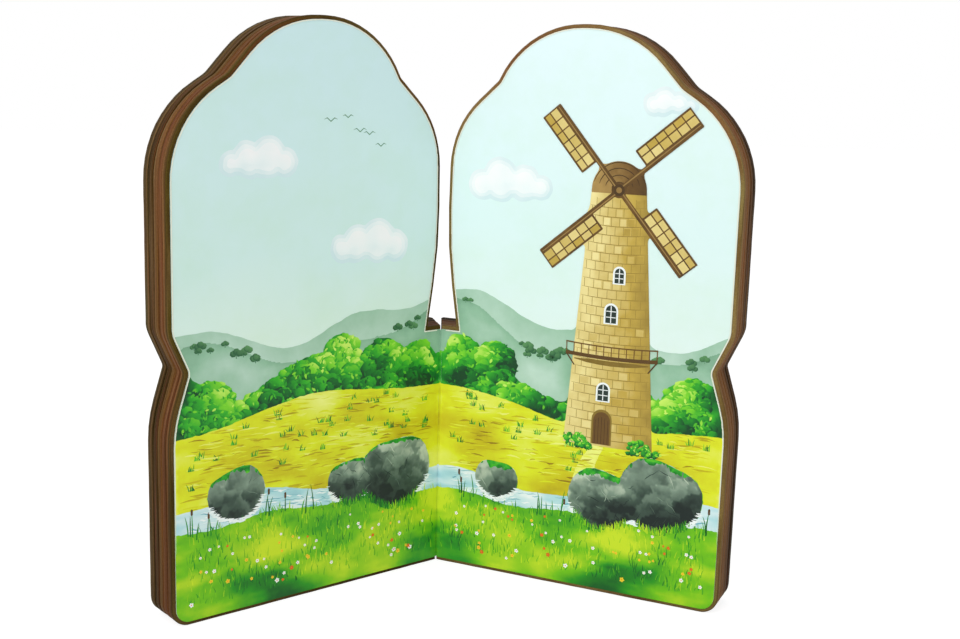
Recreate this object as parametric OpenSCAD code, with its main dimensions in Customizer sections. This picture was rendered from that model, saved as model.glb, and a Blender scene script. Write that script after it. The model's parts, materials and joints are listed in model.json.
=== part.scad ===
// A chunky foam picture book, die-cut to a domed outline, standing open in a V on its bottom edges.
// Each half is a block of foam pages with a foam cover behind it and a printed sheet on its face.
// u runs from the fold to the fore edge, t from the printed face to the cover, z upwards.

/* [Book] */
// Height of the foam boards
book_h = 254; // [230:1:280]
// Width of one half from the fold to the fore edge
half_w = 138.6; // [125:0.1:160]
// Angle between the two printed faces as the book stands
open_angle = 115.4; // [100:0.1:150]
// Height of the spine, up to the ledge
spine_h = 115.6; // [90:0.1:122]

/* [Outline] */
// How far the lower side lies inside the widest part
hip_inset = 0.1; // [0:0.1:4]
// Radius of the bottom corner at the fore edge
corner_r = 8; // [3:0.5:16]
// Height at which the lower side starts to turn in
hip_z = 86; // [70:1:98]
// Length of the bend at the hip
hip_cut = 9; // [3:0.5:12]
// Height of the waist notch
waist_z = 108.4; // [104:0.1:114]
// Depth of the waist notch below the widest part
waist_depth = 7.3; // [4:0.1:14]
// Length of the bend in the notch
waist_cut = 1.2; // [0.5:0.1:3]
// Height of the corner above the notch
collar_z = 124.7; // [120:0.1:135]
// Length of the bend above the notch
collar_cut = 3; // [1:0.1:8]
// Drop from the top to the corner of the shoulder
shoulder_drop = 42.5; // [34:0.5:50]
// Length of the shoulder's curve to each side of its corner
shoulder_cut = 26; // [10:0.5:26]
// Drop from the top to the outer neck
neck_drop = 25; // [18:0.5:32]
// Distance from the dome's middle to the outer neck
neck_out = 43.7; // [38:0.1:50]
// Distance from the dome's middle to the inner neck
neck_in = 41.8; // [38:0.1:50]
// Length of the bend at each neck
neck_cut = 1.4; // [0.5:0.1:3]
// Distance of the dome's middle from the fold
dome_u = 67; // [62:0.5:74]
// Length of the dome's curve towards the fore edge
dome_out = 20.9; // [14:0.1:26]
// Length of the dome's curve towards the spine
dome_in = 29.5; // [20:0.1:31]
// Drop from the top to the inner shoulder
inner_drop = 46; // [38:0.1:52]
// Length of the inner shoulder's curve to each side of its corner
inner_cut = 18; // [6:0.5:18]
// Distance of the inner shoulder from the fold
inner_u = 2.5; // [1.8:0.1:6]
// Distance of the inner side's bow from the fold
bow_u = 1.6; // [1.2:0.1:4]
// Height of the inner side's bow
bow_z = 153; // [145:1:175]
// Length of the bow's curve to each side of its middle
bow_cut = 18; // [4:1:22]
// Width of the ledge beside the spine
ledge_w = 7.3; // [4:0.1:12]

/* [Foam] */
// Number of foam pages in each block
page_count = 4; // [2:1:6]
// Thickness of one foam page
page_t = 4; // [3:0.1:6]
// Width of the groove between two foam pages
groove_w = 0.4; // [0.2:0.1:0.8]
// Depth of the groove between two foam pages
groove_d = 1; // [0.4:0.1:1.6]
// Thickness of a foam cover
cover_t = 4; // [3:0.1:8]
// Slant of each page block's spine end from the middle plane, as the book stands
spine_slant = 4.8; // [3.5:0.1:12]
// Distance of the foam and the sheets from the fold line
fold_gap = 0.4; // [0.3:0.05:0.45]
// Space between the two covers' round ends as the book stands
cover_gap = 3.4; // [3.2:0.1:6]
// Space between the page block's back sheet and the cover's lining
hinge_gap = 0.3; // [0.2:0.05:0.6]

/* [Print] */
// Thickness of a printed sheet
sheet_t = 0.25; // [0.15:0.05:0.5]
// Thickness of a field of colour on a sheet
ink_t = 0.15; // [0.1:0.05:0.2]
// Width of the foam rim that shows round a sheet
rim = 1.8; // [1:0.1:4]
// Space from the fold line to the printed face
face_gap = 0.15; // [0.12:0.01:0.3]

/* [Picture] */
// Drop from the ledge to the meadow in the foreground, at the fold
meadow_drop = 77.6; // [68:0.1:84]
// Width of the brook behind the meadow
brook_w = 9; // [6:0.05:12]
// Drop from the ledge to the yellow field at the fold
field_drop = 31.6; // [24:0.1:40]
// Height of the hedge's first row over the field
hedge_h = 13; // [8:0.5:20]
// Radius of the hedge's largest bush
bush_r = 14; // [8:0.5:18]
// Rise of the far hills over the ledge
hills_rise = 8.4; // [2:0.1:18]
// Length of the longest swell in the land
swell = 290; // [200:5:400]
// Height of that swell
swell_h = 7; // [2:0.5:9]
// Width of a boulder
boulder_w = 30; // [16:0.5:36]
// Distance of the windmill's middle from the fold
mill_u = 84; // [70:1:95]
// Drop from the top of the book to the windmill's hub
mill_drop = 70; // [62:1:84]
// Width of the windmill at its foot
mill_foot = 42; // [28:1:50]
// Width of the windmill at its top
mill_top = 25; // [16:1:30]
// Length of a sail from the hub to its tip
sail_l = 46; // [30:1:50]
// Width of a sail
sail_w = 10; // [6:0.5:14]
// Turn of the sails
sail_turn = 40; // [30:1:60]
// Width of a cloud
cloud_w = 46; // [30:1:56]

/* [Hidden] */

// The angle of each half from the width axis, and the levels of t behind the fold line
splay = (180 - open_angle) / 2;
ink_face = face_gap;
sheet_face = ink_face + ink_t;
block_face = sheet_face + sheet_t;
block_back = block_face + page_count * page_t;
back_sheet_end = block_back + sheet_t;
lining_face = back_sheet_end + hinge_gap;
cover_face = lining_face + sheet_t;
cover_back = cover_face + cover_t;
cover_sheet_end = cover_back + sheet_t;

// The cover turns about the middle of its round spine end
hinge_t = (lining_face + cover_sheet_end) / 2;
end_r = (cover_sheet_end - lining_face) / 2;
hinge_u = (end_r + cover_gap / 2 - hinge_t * sin(splay)) / cos(splay);

// The slanted spine end of the page block, and how far the boards are drawn past the fold to be cut there
function slant_u(t) = fold_gap - t * tan(splay - spine_slant);
block_reach = 2 - slant_u(block_back);

// The box of the standing book, from its front corner to its back, is centred on the depth axis
front_y = -half_w * sin(splay) + block_face * cos(splay);
back_y = -hinge_u * sin(splay) + hinge_t * cos(splay) + max(cover_t / 2, end_r * cos(splay));
shift_y = -(front_y + back_y) / 2;

// Heights in the picture that hang on the book's own
meadow_z = spine_h - meadow_drop;
field_z = spine_h - field_drop;
hills_z = spine_h + hills_rise;
mill_z = book_h - mill_drop;

// Shades of the foam and the print
foam_light = [0.47, 0.34, 0.20];
foam_dark = [0.28, 0.21, 0.10];
paper_back = [0.80, 0.88, 0.84];
sky_left = [0.77, 0.89, 0.88];
sky_right = [0.86, 0.96, 0.98];
cloud_white = [0.96, 0.98, 0.98];
hill_grey = [0.42, 0.52, 0.44];
hedge_green = [0.30, 0.64, 0.20];
field_yellow = [0.88, 0.80, 0.22];
brook_blue = [0.70, 0.88, 0.88];
meadow_green = [0.50, 0.78, 0.15];
stone_grey = [0.36, 0.42, 0.36];
mill_tan = [0.78, 0.68, 0.36];
sail_brown = [0.45, 0.36, 0.18];

// Outline of a board as corners of u, z and the length of the bend to each side of the corner
function corners(spine_u) = [
    [half_w - hip_inset, 0, corner_r],
    [half_w - hip_inset, hip_z, hip_cut],
    [half_w - waist_depth, waist_z, waist_cut],
    [half_w, collar_z, collar_cut],
    [half_w, book_h - shoulder_drop, shoulder_cut],
    [dome_u + neck_out, book_h - neck_drop, neck_cut],
    [dome_u + dome_out, book_h, dome_out],
    [dome_u - dome_in, book_h, dome_in],
    [dome_u - neck_in, book_h - neck_drop, neck_cut],
    [inner_u, book_h - inner_drop, inner_cut],
    [bow_u, bow_z, bow_cut],
    [ledge_w, spine_h, 0],
    [spine_u, spine_h, 0],
    [spine_u, 0, 0]
];

// Helpers for a closed row of corners
function at(list, i) = list[(i + len(list)) % len(list)];
function flat(p) = [p.x, p.y];
function heading(list, i) = let (v = flat(at(list, i + 1)) - flat(at(list, i))) v / norm(v);
function side(v) = [v.y, -v.x];
function turn_at(list, i) = let (a = heading(list, i - 1), b = heading(list, i))
    atan2(a.x * b.y - a.y * b.x, a.x * b.x + a.y * b.y);

// Each corner moved inwards by d, with its bend kept parallel to the first one
function inset_corners(list, d) = [
    for (i = [0 : len(list) - 1])
        let (n1 = side(heading(list, i - 1)), n2 = side(heading(list, i)), p = flat(list[i]),
             q = p - d * (n1 + n2) / (1 + n1 * n2), bend = turn_at(list, i),
             cut = list[i].z - d * tan(bend / 2))
        [q.x, q.y, list[i].z > 0 ? max(cut, 0) : 0]
];

// The bend at corner i, never longer than its share of the two sides that it joins
function room(list, i, j) = let (both = at(list, i).z + at(list, j).z,
    long = norm(flat(at(list, i)) - flat(at(list, j)))) both > long ? long / both : 1;
function bend_points(list, i) = let (
    cut = list[i].z * min(room(list, i, i - 1), room(list, i, i + 1)),
    bend = turn_at(list, i), a = heading(list, i - 1), p = flat(list[i]),
    r = cut / tan(abs(bend) / 2), s = sign(bend), start = p - cut * a,
    middle = start - s * r * side(a), steps = max(1, ceil(abs(bend) / 6)))
    cut <= 0 ? [p] : [
        for (k = [0 : steps]) let (w = bend * k / steps, v = start - middle)
            middle + [v.x * cos(w) - v.y * sin(w), v.x * sin(w) + v.y * cos(w)]
    ];
function rounded(list) = [for (i = [0 : len(list) - 1]) each bend_points(list, i)];
function outline(spine_u, inset) =
    rounded(inset_corners(corners(spine_u - inset), inset));

// The land on both pages: heights over s, which runs from the left fore edge to the right one.
// Each wave has its number of swells, its share of the swell's height and its start.
function wave(s, swells, share, start) = share * swell_h * sin(360 * swells * s / swell + start);
function meadow_top(s) = meadow_z + wave(s, 1, 0.5, 200) + wave(s, 5.5, 0.16, 0);
function brook_top(s) = meadow_top(s) + brook_w + wave(s, 2.5, 0.3, 60);
function field_top(s) = field_z + wave(s, 1, 1, 150) + wave(s, 3, 0.25, 0);
function hedge_top(s) = field_top(s) + hedge_h + wave(s, 3.6, 0.6, 30);
function hills_top(s) = hills_z + wave(s, 1.6, 1, 80) + wave(s, 4.4, 0.5, 0);
function land_top(level, s) = level == 0 ? 0 : level == 1 ? meadow_top(s) : level == 2 ? brook_top(s)
    : level == 3 ? field_top(s) : level == 4 ? hedge_top(s) : hills_top(s);

// The frames of the two halves
module right_half() translate([0, shift_y, 0]) rotate([0, 0, -splay]) children();
module left_half() mirror([1, 0, 0]) right_half() children();

// A board or sheet of a flat outline between two levels of t
module slab(t0, t1) translate([0, t1, 0]) rotate([90, 0, 0]) linear_extrude(t1 - t0) children();
module sheet(spine_u, t0, t1) slab(t0, t1) polygon(outline(spine_u, rim));

// The foam pages of one half, with grooves between them and the slanted spine end
module page_block() {
    difference() {
        union() {
            slab(block_face, block_back) polygon(outline(-block_reach, groove_d));
            for (i = [0 : page_count - 1])
                slab(block_face + i * page_t + (i > 0 ? groove_w / 2 : 0),
                     block_face + (i + 1) * page_t - (i < page_count - 1 ? groove_w / 2 : 0))
                    polygon(outline(-block_reach, 0));
        }
        translate([0, 0, -1]) linear_extrude(spine_h + 2) polygon([
            [-block_reach - 2, block_face - 1], [slant_u(block_face - 1), block_face - 1],
            [slant_u(block_back + 1), block_back + 1], [-block_reach - 2, block_back + 1]
        ]);
    }
}

// A foam cover with its round spine end
module cover() {
    slab(cover_face, cover_back) polygon(outline(hinge_u, 0));
    translate([hinge_u, hinge_t, 0]) cylinder(r = cover_t / 2, h = spine_h, $fn = 48);
}

// A stretch of land from one level to the next, on the left page with way = -1 or the right one with 1
module land(way, level) {
    steps = 36;
    run = [for (i = [0 : steps]) i * half_w / steps];
    polygon(concat(
        [for (u = run) [u, land_top(level - 1, way * u)]],
        [for (i = [steps : -1 : 0]) [run[i], land_top(level, way * run[i])]]
    ));
}

// All the land under a level
module below(way, level) for (i = [1 : level]) land(way, i);

// Round bushes on top of the hedge, as [share of the page's width, share of the largest bush]
left_bushes = [[0.10, 0.8], [0.24, 1], [0.40, 0.7], [0.86, 0.75], [0.98, 0.9]];
right_bushes = [[0.08, 0.6], [0.20, 0.75], [0.88, 1], [0.98, 0.8]];
module bushes(way, list) {
    for (b = list) let (u = b[0] * half_w)
        translate([u, land_top(4, way * u)]) circle(r = b[1] * bush_r, $fn = 32);
}

// Boulders on the bank of the brook, as [share of the page's width, share of the boulder's width]
left_stones = [[0.18, 1.3], [0.36, 0.8], [0.78, 0.9]];
right_stones = [[0.22, 0.7], [0.60, 1.1], [0.79, 1.3]];
module boulders(way, list) {
    for (b = list) let (u = b[0] * half_w, w = b[1] * boulder_w)
        translate([u, land_top(2, way * u) - w * 0.08]) polygon([
            for (i = [0 : 23]) let (q = 15 * i)
                [w / 2 * cos(q), w * 0.42 * (0.35 + sin(q)) * (1 + 0.08 * sin(3 * q + 90 * b[0]))]
        ]);
}

// Clouds, as [share of the page's width, height, share of the cloud's width]
left_sky = [[0.70, 0.76, 0.8], [0.30, 0.61, 0.9]];
right_sky = [[0.24, 0.72, 0.9], [0.76, 0.87, 0.5]];
puffs = [[-0.34, 0, 0.13], [-0.12, 0.06, 0.2], [0.14, 0.04, 0.17], [0.35, 0, 0.11]];
module clouds(list) {
    for (c = list) translate([c[0] * half_w, c[1] * book_h]) {
        w = c[2] * cloud_w;
        for (p = puffs) translate([p[0] * w, p[1] * w]) circle(r = p[2] * w, $fn = 32);
        translate([-0.38 * w, -0.1 * w]) square([0.76 * w, 0.14 * w]);
    }
}

// The windmill: a tapered tower with a domed cap, and four sails on a hub in front of the cap
module mill_tower() {
    foot_z = land_top(3, mill_u) - bush_r / 2;
    translate([mill_u, 0]) {
        polygon([
            [-mill_foot / 2, foot_z], [mill_foot / 2, foot_z],
            [mill_top / 2, mill_z], [-mill_top / 2, mill_z]
        ]);
        translate([0, mill_z]) circle(d = mill_top, $fn = 40);
    }
}
module mill_sails() {
    translate([mill_u, mill_z]) {
        circle(r = sail_w / 3, $fn = 24);
        for (i = [0 : 3]) rotate(sail_turn + 90 * i) {
            translate([0, -sail_w / 10]) square([sail_l, sail_w / 5]);
            translate([sail_l * 0.35, -sail_w / 10]) square([sail_l * 0.65, sail_w]);
        }
    }
}

// A field of colour: its own shape inside the sheet's outline, without what lies in front of it.
// The first child is the shape, and the others are cut out of it.
module field() {
    slab(ink_face, sheet_face) difference() {
        intersection() {
            polygon(outline(fold_gap, rim));
            children(0);
        }
        if ($children > 1) children([1 : $children - 1]);
    }
}

// Foam parts
module left_page_block() color(foam_light) left_half() page_block();
module right_page_block() color(foam_light) right_half() page_block();
module left_cover() color(foam_dark) left_half() cover();
module right_cover() color(foam_dark) right_half() cover();

// Printed sheets: on the open pages, on the backs of the blocks, and on both faces of the covers
module left_page_sheet() color(sky_left) left_half() sheet(fold_gap, sheet_face, block_face);
module right_page_sheet() color(sky_right) right_half() sheet(fold_gap, sheet_face, block_face);
module left_back_sheet() color(paper_back) left_half() back_sheet();
module right_back_sheet() color(paper_back) right_half() back_sheet();
module back_sheet() sheet(slant_u(block_back) + rim, block_back, back_sheet_end);
module left_lining_sheet() color(paper_back) left_half() sheet(hinge_u, lining_face, cover_face);
module right_lining_sheet() color(paper_back) right_half() sheet(hinge_u, lining_face, cover_face);
module left_cover_sheet() color(sky_left) left_half() sheet(hinge_u, cover_back, cover_sheet_end);
module right_cover_sheet() color(sky_right) right_half() sheet(hinge_u, cover_back, cover_sheet_end);

// Fields of colour on the left page
module left_clouds() color(cloud_white) left_half() field() clouds(left_sky);
module left_hills() color(hill_grey) left_half() field() {
    land(-1, 5);
    bushes(-1, left_bushes);
}
module left_hedge() color(hedge_green) left_half() field() {
    union() {
        land(-1, 4);
        bushes(-1, left_bushes);
    }
    below(-1, 3);
}
module left_field() color(field_yellow) left_half() field() {
    land(-1, 3);
    boulders(-1, left_stones);
}
module left_brook() color(brook_blue) left_half() field() {
    land(-1, 2);
    boulders(-1, left_stones);
}
module left_meadow() color(meadow_green) left_half() field() {
    land(-1, 1);
    boulders(-1, left_stones);
}
module left_boulders() color(stone_grey) left_half() field() boulders(-1, left_stones);

// Fields of colour on the right page
module right_clouds() color(cloud_white) right_half() field() {
    clouds(right_sky);
    mill_tower();
    mill_sails();
}
module right_hills() color(hill_grey) right_half() field() {
    land(1, 5);
    bushes(1, right_bushes);
    mill_tower();
    mill_sails();
}
module right_hedge() color(hedge_green) right_half() field() {
    union() {
        land(1, 4);
        bushes(1, right_bushes);
    }
    below(1, 3);
    mill_tower();
    mill_sails();
}
module right_field() color(field_yellow) right_half() field() {
    land(1, 3);
    boulders(1, right_stones);
    mill_tower();
    mill_sails();
}
module right_brook() color(brook_blue) right_half() field() {
    land(1, 2);
    boulders(1, right_stones);
}
module right_meadow() color(meadow_green) right_half() field() {
    land(1, 1);
    boulders(1, right_stones);
}
module right_boulders() color(stone_grey) right_half() field() boulders(1, right_stones);
module windmill() color(mill_tan) right_half() field() {
    mill_tower();
    mill_sails();
    boulders(1, right_stones);
}
module windmill_sails() color(sail_brown) right_half() field() mill_sails();

left_page_block();
right_page_block();
left_cover();
right_cover();
left_page_sheet();
right_page_sheet();
left_back_sheet();
right_back_sheet();
left_lining_sheet();
right_lining_sheet();
left_cover_sheet();
right_cover_sheet();
left_clouds();
left_hills();
left_hedge();
left_field();
left_brook();
left_meadow();
left_boulders();
right_clouds();
right_hills();
right_hedge();
right_field();
right_brook();
right_meadow();
right_boulders();
windmill();
windmill_sails();
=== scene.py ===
"""Looks of a chunky foam picture book that stands open in a V.

Everything is measured in the frame of one half: u from the fold to the fore edge, t from the fold line
to the cover behind, z upwards, all in millimetres. side is -1 on the left half and 1 on the right one.
"""

import json
import math
import random

import bpy
import numpy as np
from mathutils import Matrix, Vector
from mathutils.geometry import delaunay_2d_cdt


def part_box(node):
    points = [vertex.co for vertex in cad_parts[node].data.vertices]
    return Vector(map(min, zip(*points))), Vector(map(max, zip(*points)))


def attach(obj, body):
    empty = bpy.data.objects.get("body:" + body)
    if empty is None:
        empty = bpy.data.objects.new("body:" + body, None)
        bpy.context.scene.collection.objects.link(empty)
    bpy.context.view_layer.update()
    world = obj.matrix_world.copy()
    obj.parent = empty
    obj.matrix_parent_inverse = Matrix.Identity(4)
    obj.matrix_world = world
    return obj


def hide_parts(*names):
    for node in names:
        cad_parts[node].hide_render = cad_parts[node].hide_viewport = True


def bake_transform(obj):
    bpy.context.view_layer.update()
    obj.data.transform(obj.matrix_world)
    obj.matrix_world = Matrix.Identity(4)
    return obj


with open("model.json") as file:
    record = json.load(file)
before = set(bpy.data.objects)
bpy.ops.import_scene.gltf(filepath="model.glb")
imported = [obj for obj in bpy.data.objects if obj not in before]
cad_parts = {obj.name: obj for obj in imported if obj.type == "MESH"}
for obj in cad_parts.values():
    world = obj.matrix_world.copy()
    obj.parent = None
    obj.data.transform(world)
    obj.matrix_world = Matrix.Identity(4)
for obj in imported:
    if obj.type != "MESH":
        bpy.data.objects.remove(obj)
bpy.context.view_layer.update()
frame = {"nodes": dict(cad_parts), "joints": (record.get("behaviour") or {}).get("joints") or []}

MM = 0.001
SIDES = {"left": -1, "right": 1}

# The frame of the halves, from the joints
JOINTS = {j["name"]: j for j in frame["joints"]}
OPEN_ANGLE = -JOINTS["gutter_fold"]["range_deg"][0]
SPLAY = math.radians((180 - OPEN_ANGLE) / 2)
SHIFT_Y = JOINTS["gutter_fold"]["pos_m"][1] / MM


def to_world(side, u, t, z):
    """Points of one half in the row frame, in metres, one row each."""
    u, t, z = np.broadcast_arrays(np.asarray(u, float), np.asarray(t, float), np.asarray(z, float))
    x = side * (u * math.cos(SPLAY) + t * math.sin(SPLAY))
    y = SHIFT_Y - u * math.sin(SPLAY) + t * math.cos(SPLAY)
    return np.stack([x, y, z], -1) * MM


def to_half(side, points):
    """u, t and z of points in the row frame."""
    x, y, z = (np.asarray(points, float) / MM).T
    x, y = side * x, y - SHIFT_Y
    u = x * math.cos(SPLAY) - y * math.sin(SPLAY)
    t = x * math.sin(SPLAY) + y * math.cos(SPLAY)
    return np.stack([u, t, z], -1)


# Reading the solids of the frame

SAME = 0.02  # two levels or points closer than this are one


def node_points(name, side):
    mesh = frame["nodes"][name].data
    places = np.empty(len(mesh.vertices) * 3)
    mesh.vertices.foreach_get("co", places)
    return to_half(side, places.reshape(-1, 3))


def t_levels(name, side, past_u):
    """The levels of t at which a board or sheet has faces, read where u is over past_u."""
    points = node_points(name, side)
    found = np.sort(points[points[:, 0] > past_u, 1])
    return [found[0]] + [b for a, b in zip(found, found[1:]) if b - a > SAME]


def face_loops(name, side, level):
    """The closed outlines, as arrays of (u, z), of a node's flat face at one level of t."""
    mesh = frame["nodes"][name].data
    points = node_points(name, side)
    keys = {}
    merged = [keys.setdefault(tuple(np.round(p, 3)), len(keys)) for p in points]
    places = {merged[i]: points[i] for i in range(len(points))}
    edges = {}
    for face in mesh.polygons:
        corners = [merged[i] for i in face.vertices]
        if all(abs(places[c][1] - level) < SAME for c in corners):
            for a, b in zip(corners, corners[1:] + corners[:1]):
                if (b, a) in edges:
                    del edges[(b, a)]
                else:
                    edges[(a, b)] = True
    onward = dict(edges.keys())
    loops = []
    while onward:
        start, here = onward.popitem()
        loop = [start]
        while here != start:
            loop.append(here)
            here = onward.pop(here)
        loops.append(np.array([places[c][[0, 2]] for c in loop]))
    return loops


def area(loop):
    x, y = loop.T
    return 0.5 * np.sum(x * np.roll(y, -1) - y * np.roll(x, -1))


def outer_loop(name, side, level):
    """The largest outline of a face, counterclockwise in u and z."""
    loop = max(face_loops(name, side, level), key=lambda one: abs(area(one)))
    return loop if area(loop) > 0 else loop[::-1]


PAGE_LEVELS = t_levels("right_page_block", 1, 20)
COVER_LEVELS = t_levels("right_cover", 1, 20)
SHEET_FACE = t_levels("right_page_sheet", 1, 20)[0]
BACK_SHEET_END = t_levels("right_back_sheet", 1, 20)[1]
LINING_FACE, COVER_FACE = t_levels("right_lining_sheet", 1, 20)
COVER_BACK, COVER_SHEET_END = t_levels("right_cover_sheet", 1, 20)
INK_FACE = t_levels("right_field", 1, 20)[0]
HINGE_U, HINGE_T, _ = to_half(1, [JOINTS["right_cover_fold"]["pos_m"]])[0]
BOOK_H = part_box("right_page_block")[1].z / MM
FOLD_GAP, HALF_W = (get(node_points("right_page_sheet", 1)[:, 0]) for get in (min, max))


# Helpers for materials

def srgb(red, green, blue):
    """A colour as it looks on a screen, 0 to 255, as the linear colour of a shader."""
    parts = [v / 255 for v in (red, green, blue)]
    return tuple(v / 12.92 if v <= 0.04045 else ((v + 0.055) / 1.055) ** 2.4 for v in parts) + (1.0,)


def new_material(name):
    material = bpy.data.materials.new(name)
    material.use_nodes = True
    material.node_tree.nodes.clear()
    return material, material.node_tree


def node(tree, kind, inputs=None, **settings):
    made = tree.nodes.new("ShaderNode" + kind)
    for key, value in settings.items():
        setattr(made, key, value)
    for key, value in (inputs or {}).items():
        if isinstance(value, bpy.types.NodeSocket):
            tree.links.new(value, made.inputs[key])
        else:
            made.inputs[key].default_value = value
    return made


def math_node(tree, operation, *values):
    return node(tree, "Math", dict(enumerate(values)), operation=operation).outputs[0]


def ramp(tree, factor, stops, interpolation="LINEAR"):
    """A colour ramp whose stops are (position, colour)."""
    made = node(tree, "ValToRGB", {"Fac": factor})
    made.color_ramp.interpolation = interpolation
    elements = made.color_ramp.elements
    while len(elements) < len(stops):
        elements.new(0.5)
    for element, (position, colour) in zip(elements, stops):
        element.position = position
        element.color = colour
    return made.outputs["Color"]


def noise(tree, place, scale, detail=2.0, roughness=0.5):
    inputs = {"Vector": place, "Scale": scale, "Detail": detail, "Roughness": roughness}
    return node(tree, "TexNoise", inputs).outputs["Fac"]


def mix(tree, factor, a, b, blend_type="MIX"):
    inputs = {"Factor": factor, 6: a, 7: b}
    return node(tree, "Mix", inputs, data_type="RGBA", blend_type=blend_type).outputs[2]


def fade(tree, color, other, factor, *stops):
    """A colour that turns into another one; the stops are (factor, share of the other)."""
    stops = [(at, (share, share, share, 1)) for at, share in stops]
    return mix(tree, ramp(tree, factor, stops), color, other)


def darker(tree, color, *rgb):
    return mix(tree, 1.0, color, srgb(*rgb), "MULTIPLY")


def height_above_floor(tree, place):
    return node(tree, "SeparateXYZ", {0: place}).outputs["Z"]


def scaled(tree, place, *scale):
    return node(tree, "Mapping", {"Vector": place, "Scale": scale}).outputs[0]


def seen_directly(tree):
    """1 where the camera looks at a thing, also in a mirror or through glass, and 0 for light."""
    path = node(tree, "LightPath").outputs
    return math_node(tree, "MAXIMUM", path["Is Camera Ray"],
                     math_node(tree, "MAXIMUM", path["Is Glossy Ray"], path["Is Transmission Ray"]))


def new_object(name, mesh, *materials):
    for material in materials:
        mesh.materials.append(material)
    made = bpy.data.objects.new(name, mesh)
    bpy.context.scene.collection.objects.link(made)
    return made


def surface(tree, color, height=None, height_mm=0.02, **values):
    """A Principled surface with a colour socket, fixed values and a bump from a height socket."""
    inputs = {"Base Color": color, **values}
    if height is not None:
        bump_inputs = {"Strength": 1.0, "Distance": height_mm * MM, "Height": height}
        inputs["Normal"] = node(tree, "Bump", bump_inputs).outputs["Normal"]
    shader = node(tree, "BsdfPrincipled", inputs)
    node(tree, "OutputMaterial", {"Surface": shader.outputs["BSDF"]})


def place_in_frame(tree):
    return node(tree, "TexCoord").outputs["Object"]


def level_of(tree, place, side):
    """The level of t, in millimetres, as a shader value."""
    along_t = (side * math.sin(SPLAY) / MM, math.cos(SPLAY) / MM, 0)
    dot = node(tree, "VectorMath", {0: place, 1: along_t}, operation="DOT_PRODUCT").outputs["Value"]
    return math_node(tree, "SUBTRACT", dot, SHIFT_Y * math.cos(SPLAY))


# Foam

def foam_material(name, side, bands):
    """Fine closed-cell foam with a cut edge: bands of colour from board to board, streaks along them, and
    painted shade towards the floor.
    """
    material, tree = new_material(name)
    place = place_in_frame(tree)
    level = level_of(tree, place, side)
    drift = 2.4
    moved = math_node(tree, "MULTIPLY_ADD", noise(tree, place, 16, 2.0), drift, level)
    span = COVER_SHEET_END + drift
    share = math_node(tree, "DIVIDE", moved, span)
    color = ramp(tree, share, [((t + drift / 2) / span, srgb(*rgb)) for t, rgb in bands])
    turn = node(tree, "Mapping", {"Vector": place, "Rotation": (0, 0, side * SPLAY)}).outputs[0]
    long_streaks, fine_streaks = scaled(tree, turn, 9, 620, 9), scaled(tree, turn, 26, 2300, 26)
    streak = noise(tree, long_streaks, 1.0, 2.0, 0.6)
    color = fade(tree, color, srgb(158, 122, 84), streak, (0.52, 0), (0.68, 0.5))
    color = fade(tree, color, srgb(62, 42, 20), streak, (0.34, 0.62), (0.46, 0))
    fine = noise(tree, fine_streaks, 1.0, 3.0, 0.6)
    color = fade(tree, color, darker(tree, color, 150, 116, 92), fine, (0.42, 0.5), (0.58, 0))
    color = fade(tree, color, srgb(140, 74, 50), noise(tree, long_streaks, 1.7, 1.0), (0.55, 0), (0.7, 0.4))
    # Painted shade: the cut edge is darkened towards the floor, most at the bottom and not at all above 120
    # mm.
    low = node(tree, "MapRange", {"Value": height_above_floor(tree, place), "From Max": 0.12, "To Min": 0.38,
                                  "To Max": 0.0}).outputs[0]
    color = mix(tree, low, color, darker(tree, color, 150, 132, 120))
    cells = node(tree, "TexVoronoi", {"Vector": place, "Scale": 2200.0}, feature="SMOOTH_F1")
    height = math_node(tree, "MULTIPLY_ADD", fine, 0.8, cells.outputs["Distance"])
    speck = noise(tree, place, 1600, 2.0)
    color = fade(tree, color, darker(tree, color, 150, 140, 130), speck, (0.42, 0.28), (0.62, 0))
    surface(tree, color, height, 0.10, Roughness=0.6, **{"Specular IOR Level": 0.05})
    return material


def open_outline(name, side, level, step):
    """A board's outline without its spine end, from the bottom round the fore edge to the ledge."""
    loop = outer_loop(name, side, level)
    spine_u = loop[:, 0].min()
    start = int(np.argmin(np.where(loop[:, 0] < spine_u + SAME, loop[:, 1], np.inf)))
    loop = np.roll(loop, -start, axis=0)
    fine = [loop[:1]]
    for a, b in zip(loop, loop[1:]):
        count = max(1, round(np.linalg.norm(b - a) / step))
        fine.append(a + (b - a) * (np.arange(1, count + 1) / count)[:, None])
    return np.concatenate(fine)


def inward(path):
    """Unit normals of an open path that point into the board."""
    way = np.gradient(path, axis=0)
    way /= np.linalg.norm(way, axis=1)[:, None]
    return np.stack([-way[:, 1], way[:, 0]], -1)


def loft(name, side, path, rings, material):
    """A closed board: rings are (t, inset array, u of the spine end), from the front to the back."""
    normals = inward(path)
    normals[0], normals[-1] = (0, 1), (0, -1)
    points, faces = [], []
    for t, inset, spine_u in rings:
        ring = path + normals * inset[:, None]
        ring[[0, -1], 0] = spine_u
        points.append(to_world(side, ring[:, 0], t, ring[:, 1]))
    n = len(path)
    for k in range(len(rings) - 1):
        for i in range(n):
            j = (i + 1) % n
            faces.append((k * n + i, (k + 1) * n + i, (k + 1) * n + j, k * n + j))
    faces.append(tuple(range(n)))
    faces.append(tuple(reversed(range((len(rings) - 1) * n, len(rings) * n))))
    if side < 0:
        faces = [face[::-1] for face in faces]
    mesh = bpy.data.meshes.new(name)
    mesh.from_pydata(np.concatenate(points).tolist(), [], faces)
    mesh.update()
    mesh.shade_smooth()
    mesh.set_sharp_from_angle(angle=math.radians(50))
    return new_object(name, mesh, material)


def hashed(i, j, seed):
    """A repeatable value from 0 to 1 for each pair of whole numbers."""
    n = (i * 374761393 + j * 668265263 + seed * 144665317) & 0xFFFFFFFF
    n = ((n ^ (n >> 13)) * 1274126177) & 0xFFFFFFFF
    return ((n ^ (n >> 16)) & 0xFFFF) / 65535


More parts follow.
